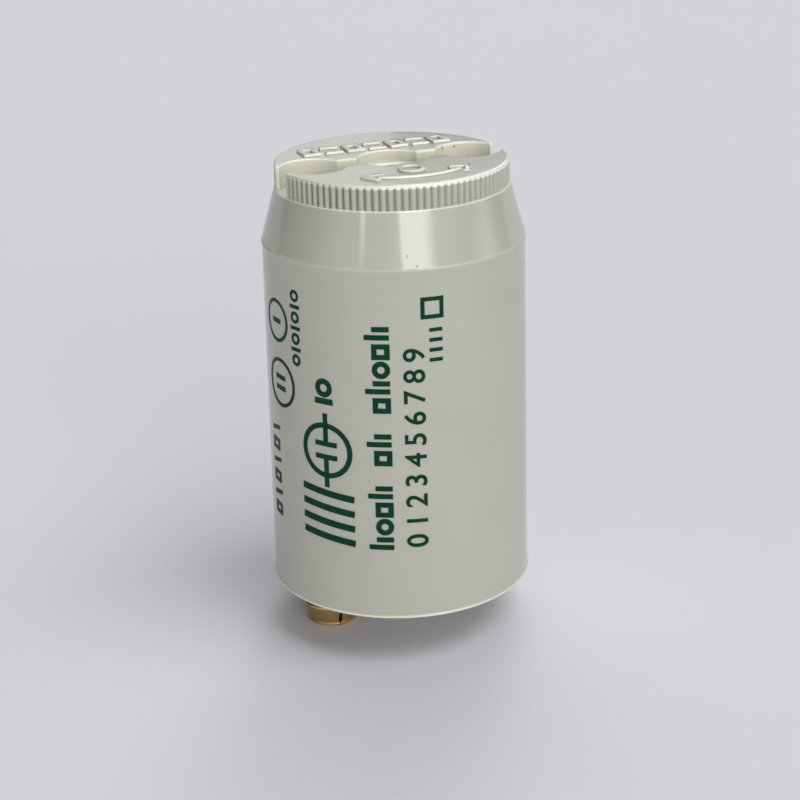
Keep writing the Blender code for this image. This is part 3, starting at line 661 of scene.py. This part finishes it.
# Print: dark green ink pressed on the body's front. It reads upwards. A scale of plain numbers stands
# at the middle, with simple bars, rings and frames in the other places.
INK_PROUD = 0.000012
INK_SUNK = 0.00002
GIRTH_RADIUS = 0.0106
MILLIMETRE = 0.001
FINE_STROKE = 0.0003
INK_STROKE = 0.00033
PLATE_STROKE = 0.0004
BOLD_STROKE = 0.00042
SLANT_STROKE = 0.00055
PATH_STEP = 0.0002
ACROSS_POINTS = 4
PRINT_BASE_Z = RIM_Z + 0.00016
DIGIT_HEIGHT = 0.00165
DIGIT_SIZE_SHARE = 0.7
DIGIT_BOLDNESS = 0.00003
DIGIT_CURVE_STEPS = 6
DIGIT_CUT_REACH = 1.1
DIGIT_PITCH = 0.001714
DIGIT_FIRST_Z = 0.00662
DIGIT_BASELINE = -0.00163
FOUR_OUTLINES = (((-0.563, 0.528), (-0.563, 0.634), (0.250, 1.629), (0.349, 1.629), (0.349, 0.735),
                  (0.521, 0.735), (0.521, 0.528), (0.349, 0.528), (0.349, 0), (0.118, 0), (0.118, 0.528)),
                 ((-0.254, 0.735), (0.118, 0.735), (0.118, 1.193)))
INK_DARK = (0.0005, 0.022, 0.010)
INK_LIGHT = (0.002, 0.042, 0.024)
# Places of the rows in millimetres: height of the first sign, step to the next, and their number
SMALL_ROW = (20.7, 0.87, 7)
LEFT_ROW = (6.9, 1.42, 6)
SLANTED_ROW = (6.2, 1.25, 4)
BOLD_ROW = (6.4, 1.45, 13)
BOLD_ROW_GAPS = (4, 7)
CROSSED_RING = (-9.75, 13.8)


def on_body(flat):
    """Flat points laid on the tapered body.

    Each point holds its distance round the girth from the front, its height over the print's base
    and how far it stands proud. Its angle is that distance over the girth's radius.
    """
    girth, height, proud = flat[..., 0], flat[..., 1] + PRINT_BASE_Z, flat[..., 2]
    radius = taper_radius(height) + proud
    angle = girth / GIRTH_RADIUS - np.pi / 2
    return np.stack([radius * np.cos(angle), radius * np.sin(angle), height], axis=-1)


def sampled(path, loop=False):
    """A path with extra points on its sides, none further apart than PATH_STEP."""
    path = np.array(path, float)
    ends = np.roll(path, -1, axis=0) if loop else path[1:]
    pieces = []
    for start, end in zip(path, ends):
        count = max(1, math.ceil(np.linalg.norm(end - start) / PATH_STEP))
        pieces.append(start + (end - start) * (np.arange(count) / count)[:, None])
    if not loop:
        pieces.append(path[-1:])
    return np.concatenate(pieces)


def ink_stroke(path, stroke, loop=False):
    """A thin layer of ink along a flat path in millimetres, laid on the body."""
    path = sampled(np.array(path, float) * MILLIMETRE, loop)
    across = np.linspace(-0.5, 0.5, ACROSS_POINTS) * stroke
    across = np.concatenate([across, across[::-1]])
    up = np.repeat([-INK_SUNK, INK_PROUD], ACROSS_POINTS)
    points = swept(path, across, up, loop)
    return on_body(points), stroke_faces(len(path), len(across), loop)


def digit_curve(number):
    """One number as bold type. The 4 is drawn by its outlines, as its opening closes in bold type."""
    if number == 4:
        curve = bpy.data.curves.new("digit", "CURVE")
        curve.dimensions = "2D"
        curve.fill_mode = "BOTH"
        for outline in FOUR_OUTLINES:
            spline = curve.splines.new("POLY")
            spline.points.add(len(outline) - 1)
            for point, (x, y) in zip(spline.points, outline):
                point.co = (x * MILLIMETRE, y * MILLIMETRE, 0, 1)
            spline.use_cyclic_u = True
    else:
        curve = bpy.data.curves.new("digit", "FONT")
        curve.body = str(number)
        curve.size = DIGIT_HEIGHT / DIGIT_SIZE_SHARE
        curve.align_x = "CENTER"
    curve.extrude = (INK_PROUD + INK_SUNK) / 2
    curve.resolution_u = DIGIT_CURVE_STEPS
    curve.offset = DIGIT_BOLDNESS
    return curve


def digit_patches():
    """The numbers 0 to 9 as one row of type that reads upwards, cut into strips so that it bends."""
    patches = []
    for number in range(10):
        type_object = bpy.data.objects.new("digit", digit_curve(number))
        bpy.context.scene.collection.objects.link(type_object)
        mesh = type_object.to_mesh()
        shape = bmesh.new()
        shape.from_mesh(mesh)
        bmesh.ops.remove_doubles(shape, verts=shape.verts, dist=WELD_DISTANCE)
        for cut in np.arange(0, DIGIT_HEIGHT * DIGIT_CUT_REACH, PATH_STEP):
            everything = shape.verts[:] + shape.edges[:] + shape.faces[:]
            bmesh.ops.bisect_plane(shape, geom=everything, plane_co=(0, cut, 0), plane_no=(0, 1, 0))
        bmesh.ops.triangulate(shape, faces=shape.faces)
        shape.verts.index_update()
        points = np.array([vertex.co for vertex in shape.verts])
        faces = np.array([[vertex.index for vertex in face.verts] for face in shape.faces])
        shape.free()
        bpy.data.objects.remove(type_object)
        middle = DIGIT_FIRST_Z + number * DIGIT_PITCH
        flat = np.stack([DIGIT_BASELINE - points[:, 1], middle + points[:, 0],
                         points[:, 2] + (INK_PROUD - INK_SUNK) / 2], axis=-1)
        patches.append((on_body(flat), faces))
    return patches


def add_bar(start, end, stroke):
    """Adds a straight stroke of ink between two places."""
    ink_strokes.append(ink_stroke([start, end], stroke))


def add_ring(centre, radius, stroke, last_angle, count):
    """Adds a closed ring of ink whose points stand from 0 to last_angle degrees."""
    ink_strokes.append(ink_stroke(arc_path(centre, radius, 0, last_angle, count), stroke, loop=True))


def add_frame(centre, width, length, stroke):
    """Adds a rectangle of ink."""
    ink_strokes.append(ink_stroke(rectangle_path(*centre, width, length), stroke, loop=True))


ink_strokes = digit_patches()
# Row of small rings and bars at the left
foot, pitch, count = SMALL_ROW
for number in range(count):
    height = foot + number * pitch
    if number % 2:
        add_bar((-13.1, height), (-12, height), FINE_STROKE)
    else:
        add_ring((-12.55, height), 0.36, 0.00026, 345, 24)
# Two rings further round, with one bar and with two
add_ring((-15.28, 23.3), 1.62, FINE_STROKE, 352, 44)
add_bar((-15.9, 23.3), (-14.6, 23.3), PLATE_STROKE)
add_ring((-14.93, 18.2), 1.9, FINE_STROKE, 352, 48)
for height in (17.75, 18.65):
    add_bar((-15.7, height), (-14.2, height), PLATE_STROKE)
# Row of frames and slanted bars below them
foot, pitch, count = LEFT_ROW
for number in range(count):
    height = foot + number * pitch
    if number % 2:
        add_bar((-17, height - 0.15), (-15.5, height + 0.15), 0.00034)
    else:
        add_frame((-16.3, height), 1.1, 0.7, 0.00028)
# A bar and a small ring, then the ring with two plates and their leads
add_bar((-10.65, 17.9), (-9, 17.9), 0.0005)
add_ring((-9.8, 19.0), 0.55, 0.00045, 345, 24)
add_ring(CROSSED_RING, 2.1, BOLD_STROKE, 354, 60)
girth, height = CROSSED_RING
for way in (-1, 1):
    plate = height + way * 0.55
    add_bar((girth, plate), (girth, height + way * 3.1), BOLD_STROKE)
    add_bar((girth - 1, plate), (girth + 1, plate), BOLD_STROKE)
# Four heavy slanted bars
foot, pitch, count = SLANTED_ROW
for number in range(count):
    height = foot + number * pitch
    add_bar((-12.2, height + 0.45), (-7.4, height), SLANT_STROKE)
# Bold row of bars, rings and frames
foot, pitch, count = BOLD_ROW
for number in range(count):
    height = foot + number * pitch
    if number in BOLD_ROW_GAPS:
        continue
    if number % 3 == 0:
        add_bar((-6.25, height - 0.3), (-4.3, height - 0.3), BOLD_STROKE)
        add_bar((-5.65, height + 0.35), (-4.3, height + 0.35), BOLD_STROKE)
    elif number % 3 == 1:
        add_ring((-4.98, height), 0.5, BOLD_STROKE, 345, 28)
    else:
        add_frame((-4.98, height), 1.0, 0.85, BOLD_STROKE)
# Frame and four short bars beyond the scale of numbers
add_frame((-0.94, 25.7), 1.5, 1.4, INK_STROKE)
for height in (23.95, 23.15, 22.35, 21.55):
    add_bar((-1.2, height), (-0.15, height), FINE_STROKE)
ink = surface_material("green_ink", INK_DARK, INK_LIGHT, roughness=(0.3, 0.5), patch_scale=1500,
                       grain_scale=9000, bump=0.000004, shader_values=[("Specular IOR Level", 0.08)])
print_layer = add_piece("print_layer", ink_strokes, ink)
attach(print_layer, "root")


# Base disc: matt moulded plastic with a boss round each pin. It snaps into the groove in the
# canister's mouth, and keeps the frame's own solid.
base_plastic = surface_material("base_plastic", dark=(0.50, 0.50, 0.45), light=(0.58, 0.58, 0.53),
                                roughness=(0.45, 0.6), patch_scale=300, grain_scale=4000, bump=0.00001)
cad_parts["base_disc"].data.materials.clear()
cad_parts["base_disc"].data.materials.append(base_plastic)


# Contact pins: brass sheet rolled to a tube with an open seam, necked above its head, with its end
# turned in and its upper edge spun over the base disc's boss.
PIN_OFFSET = 0.00635
PIN_SHEET = 0.0004
PIN_TIP_HOLE = 0.0009
PIN_BEAD_RADIUS = 0.00205
PIN_BEAD_Z = 0.00022
PIN_FOOT_RADIUS = 0.002
PIN_HEAD_RADIUS = 0.00238
PIN_HEAD_ROUND = 0.0002
PIN_HEAD_Z = 0.00185
PIN_SHANK_RADIUS = 0.0015
PIN_FLANGE_RADIUS = 0.0021
PIN_FLANGE_Z = 0.00752
PIN_TOP_Z = 0.00787
PIN_SEAM_HALF_WIDTH = 0.00007
PIN_SEAM_WIDEST_Z = 0.0007
PIN_SEAM_BELL = 0.0004
PIN_SEAM_FLARE = 1.7
PIN_SEAM_CLOSED_SHARE = 0.4
PIN_SEAM_RISE = 0.0002
PIN_NECK_RISE = 0.00004
PIN_END_ROUNDS = (0.0001, 0.00012, 0.00008, 0.00003)
PIN_SHELL_ROUNDS = (PIN_HEAD_ROUND, 0.0001, 0.00005, 0.00008, 0.0001,
                    0.0002, 0.0002, 0.0001, 0.0001, 0.0001)
PIN_SIDE_SHARES = (0.08, 0.16, 0.26, 0.36, 0.48, 0.62, 0.8)
PIN_COUNT = 97


def pin_patch(side):
    """A rolled pin: its closed section carried round from one side of the seam to the other.

    Each circle starts where its sine is half the seam's width. That half width is greatest a little
    above the end, by a bell curve of the height, and least at the bead round the end.
    """
    bore = PIN_SHANK_RADIUS - PIN_SHEET
    sheet = PIN_SHEET
    foot = np.array([PIN_FOOT_RADIUS, PIN_BEAD_Z + PIN_NECK_RISE])
    head = np.array([PIN_HEAD_RADIUS, PIN_HEAD_Z])
    side_points = [tuple(foot + (head - foot) * share) for share in PIN_SIDE_SHARES]
    section = rounded(
        [(PIN_TIP_HOLE, sheet / 2), (PIN_TIP_HOLE, 0), (PIN_BEAD_RADIUS, 0), (PIN_BEAD_RADIUS, PIN_BEAD_Z),
         tuple(foot), *side_points, tuple(head),
         (PIN_SHANK_RADIUS, PIN_HEAD_Z), (PIN_SHANK_RADIUS, PIN_FLANGE_Z), (PIN_FLANGE_RADIUS, PIN_FLANGE_Z),
         (PIN_FLANGE_RADIUS, PIN_TOP_Z), (bore, PIN_TOP_Z), (bore, PIN_HEAD_Z - sheet),
         (PIN_HEAD_RADIUS - sheet, PIN_HEAD_Z - sheet), (PIN_FOOT_RADIUS - sheet, sheet),
         (PIN_TIP_HOLE, sheet), (PIN_TIP_HOLE, sheet / 2)],
        [*PIN_END_ROUNDS, *[0] * len(side_points), *PIN_SHELL_ROUNDS])[:-1]
    height = section[:, 1]
    bell = np.exp(-((height - PIN_SEAM_WIDEST_Z) / PIN_SEAM_BELL) ** 2)
    rise = smoothstep((height - PIN_BEAD_Z) / PIN_SEAM_RISE)
    open_share = PIN_SEAM_CLOSED_SHARE + (1 - PIN_SEAM_CLOSED_SHARE) * rise
    half = np.arcsin(PIN_SEAM_HALF_WIDTH * (1 + PIN_SEAM_FLARE * bell) * open_share / section[:, 0])
    angle = half + (2 * np.pi - 2 * half) * np.linspace(0, 1, PIN_COUNT)[:, None]
    angle = angle + side * np.pi / 2
    radius, height = section[:, 0], height + 0 * angle
    points = np.stack([side * PIN_OFFSET + radius * np.cos(angle), radius * np.sin(angle), height], axis=-1)
    return points, len(section)


brass = surface_material("brass", dark=(0.36, 0.24, 0.10), light=(0.54, 0.38, 0.18), roughness=(0.42, 0.56),
                         patch_scale=900, grain_scale=9000, bump=0.000006, shader_values=[("Metallic", 1.0)])
for side, pin_name in ((-1, "contact_pin_left"), (1, "contact_pin_right")):
    points, columns = pin_patch(side)
    sides = grid_faces(PIN_COUNT, columns, loop=True)
    pin = add_piece(pin_name + "_rolled", [(points, sides)], brass)
    # The sheet's two edges at the seam
    shape = bmesh.new()
    shape.from_mesh(pin.data)
    ends = bmesh.ops.holes_fill(shape, edges=shape.edges, sides=0)
    bmesh.ops.triangulate(shape, faces=ends["faces"])
    bmesh.ops.recalc_face_normals(shape, faces=shape.faces)
    shape.to_mesh(pin.data)
    shape.free()
    pin.data.set_sharp_from_angle(angle=SHARP_ANGLE)
    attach(pin, "root")
    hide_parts(pin_name)


# Glow bulb and capacitor: glass with a bimetal and a wire electrode, and a resin body beside it.
# Both hang on tinned wires from the pins inside the canister, and keep the frame's own solids.
glass = surface_material("bulb_glass", dark=(0.88, 0.93, 0.91), light=(0.92, 0.96, 0.94),
                         roughness=(0.03, 0.07), patch_scale=400, grain_scale=2000, bump=0.000002,
                         shader_values=[("Transmission Weight", 1.0), ("IOR", 1.5)])
bimetal = surface_material("bimetal", dark=(0.44, 0.43, 0.41), light=(0.55, 0.54, 0.51),
                           roughness=(0.25, 0.4), patch_scale=900, grain_scale=12000, bump=0.000003,
                           shader_values=[("Metallic", 1.0)])
wire = surface_material("tinned_wire", dark=(0.58, 0.57, 0.55), light=(0.70, 0.69, 0.67),
                        roughness=(0.22, 0.36), patch_scale=1500, grain_scale=12000, bump=0.000003,
                        shader_values=[("Metallic", 1.0)])
resin = surface_material("capacitor_resin", dark=(0.38, 0.12, 0.04), light=(0.50, 0.19, 0.07),
                         roughness=(0.25, 0.4), patch_scale=350, grain_scale=1800, bump=0.00002)
finishes = {"glow_bulb_envelope": glass, "glow_bulb_stem": glass, "bimetal_strip": bimetal,
            "fixed_electrode": wire, "lead_in_wire_a": wire, "lead_in_wire_b": wire, "capacitor_body": resin,
            "capacitor_lead_a": wire, "capacitor_lead_b": wire}
for node, material in finishes.items():
    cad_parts[node].data.materials.clear()
    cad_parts[node].data.materials.append(material)


# Studio: a pale floor under a sky of soft-edged patches. A window stands behind the camera's right
# shoulder, with low light near the horizon and wide soft light above and beyond the object. The
# camera stands where the photograph was taken from, and sees a plain pale background.
FLOOR_COLOR = (0.645, 0.641, 0.686)
FLOOR_HALF_WIDTH = 3.0
BACKGROUND_COLOR = (0.648, 0.640, 0.682)
VIEW_AZIMUTH = -20.4
CAMERA_DIP = 20.85
CAMERA_ROLL = -1.41
CAMERA_PLACE = (-0.05001, -0.13504, 0.07336)
CAMERA_LENS = 84.06
CAMERA_SENSOR_WIDTH = 36.0
CAMERA_CLIP_START = 0.01
SKY_BASE_LEVEL = 0.03
# Azimuths from the camera's side towards the right and elevations, in degrees, over which each
# patch of sky rises and falls, and its strength
SKY_PATCHES = (
    (((-78, -44), (26, 50)), ((-4, 0), (20, 27)), 0.7),             # In front, wide
    (((-85, -60), (70, 110)), ((-5, -3), (5, 9)), 3.7),             # In front, at the horizon
    (((-72, -60), (-44, -32)), ((-5, -3), (5, 9)), 2.5),            # Left, at the horizon
    (((4.5, 6), (31, 47)), ((14.9, 15.7), (19, 28)), 6.2),          # Window, upper part
    (((6.3, 8.3), (25, 40)), ((7, 11), (14.9, 15.7)), 6.0),         # Window, lower part
    (((-8, 8), (40, 75)), ((2, 12), (45, 70)), 0.85),               # Wall round the window
    (((40, 70), (110, 140)), ((20, 38), (55, 70)), 0.4),            # Right, halfway up
    (((20, 40), (90, 110)), ((38, 52), (75, 88)), 3.7),             # Right, high
    (((120, 160), (181, 182)), ((35, 50), (70, 85)), 1.9),          # Beyond and to the right, high
    (((-182, -181), (-150, -110)), ((32, 60), (91, 92)), 1.4),      # Beyond and to the left, high
    (((150, 172), (181, 182)), ((10, 25), (50, 65)), 3.0),          # Beyond, halfway up, right half
    (((-182, -181), (-172, -150)), ((10, 25), (50, 65)), 1.2),      # Beyond, halfway up, left half
    (((150, 172), (181, 182)), ((3, 8), (15, 22)), 0.3),            # Beyond, low, right half
    (((-182, -181), (-172, -150)), ((3, 8), (15, 22)), 0.95),       # Beyond, low, left half
    (((-31, -30.2), (-26.5, -25.5)), ((14.2, 14.7), (24, 26)), 5.0))  # Narrow streak in front
floor_mesh = bpy.data.meshes.new("floor")
floor_corners = rectangle_path(0, 0, 2 * FLOOR_HALF_WIDTH, 2 * FLOOR_HALF_WIDTH)
floor_mesh.from_pydata([(*corner, 0) for corner in floor_corners.tolist()], [], [(0, 1, 2, 3)])
floor = bpy.data.objects.new("floor", floor_mesh)
bpy.context.scene.collection.objects.link(floor)
floor_card = surface_material("floor_card", FLOOR_COLOR, FLOOR_COLOR, roughness=(0.8, 0.9), patch_scale=60,
                              grain_scale=900, bump=0.00001)
floor_mesh.materials.append(floor_card)

world = bpy.data.worlds.new("studio")
world.use_nodes = True
bpy.context.scene.world = world
sky = world.node_tree


def sky_patch(azimuths, elevations):
    """A soft-edged patch of sky: the product of its rise and fall round the object and above it.

    Each pair holds the angles where an edge starts and ends, first the rising one and then the
    falling one. A fall is 1 less its soft step.
    """
    product = 1.0
    for angle, (rise, fall) in ((azimuth, azimuths), (elevation, elevations)):
        product = worked_out(sky, "MULTIPLY", product, soft_step(sky, angle, *rise))
        fallen = worked_out(sky, "SUBTRACT", 1.0, soft_step(sky, angle, *fall))
        product = worked_out(sky, "MULTIPLY", product, fallen)
    return product


direction = sky.nodes.new("ShaderNodeTexCoord")
facing = sky.nodes.new("ShaderNodeVectorRotate")
facing.rotation_type = "Z_AXIS"
facing.inputs["Angle"].default_value = -math.radians(VIEW_AZIMUTH)
axes = sky.nodes.new("ShaderNodeSeparateXYZ")
sky.links.new(direction.outputs["Generated"], facing.inputs["Vector"])
sky.links.new(facing.outputs["Vector"], axes.inputs["Vector"])
towards_camera = worked_out(sky, "MULTIPLY", axes.outputs["Y"], -1.0)
azimuth = worked_out(sky, "DEGREES", worked_out(sky, "ARCTAN2", axes.outputs["X"], towards_camera))
elevation = worked_out(sky, "DEGREES", worked_out(sky, "ARCSINE", axes.outputs["Z"]))
level = SKY_BASE_LEVEL
for azimuths, elevations, strength in SKY_PATCHES:
    patch = worked_out(sky, "MULTIPLY", sky_patch(azimuths, elevations), strength)
    level = worked_out(sky, "ADD", level, patch)
# Rays from the camera and through the glass see the plain background, all others the sky
lighting = sky.nodes["Background"]
lighting.inputs["Color"].default_value = (1.0, 1.0, 1.0, 1)
sky.links.new(level, lighting.inputs["Strength"])
seen = sky.nodes.new("ShaderNodeBackground")
seen.inputs["Color"].default_value = (*BACKGROUND_COLOR, 1)
rays = sky.nodes.new("ShaderNodeLightPath")
choice = sky.nodes.new("ShaderNodeMixShader")
straight = worked_out(sky, "MAXIMUM", rays.outputs["Is Camera Ray"],
                      rays.outputs["Is Transmission Ray"])
sky.links.new(straight, choice.inputs["Fac"])
sky.links.new(lighting.outputs["Background"], choice.inputs[1])
sky.links.new(seen.outputs["Background"], choice.inputs[2])
sky.links.new(choice.outputs["Shader"], sky.nodes["World Output"].inputs["Surface"])

camera_data = bpy.data.cameras.new("camera")
camera_data.lens = CAMERA_LENS
camera_data.sensor_width = CAMERA_SENSOR_WIDTH
camera_data.clip_start = CAMERA_CLIP_START
camera = bpy.data.objects.new("camera", camera_data)
bpy.context.scene.collection.objects.link(camera)
camera.location = CAMERA_PLACE
camera.rotation_mode = "QUATERNION"
turn = Quaternion((0, 0, 1), math.radians(VIEW_AZIMUTH))
tip = Quaternion((1, 0, 0), math.radians(90 - CAMERA_DIP))
roll = Quaternion((0, 0, 1), math.radians(CAMERA_ROLL))
camera.rotation_quaternion = turn @ tip @ roll
bpy.context.scene.camera = camera
bpy.context.scene.view_settings.view_transform = "Standard"
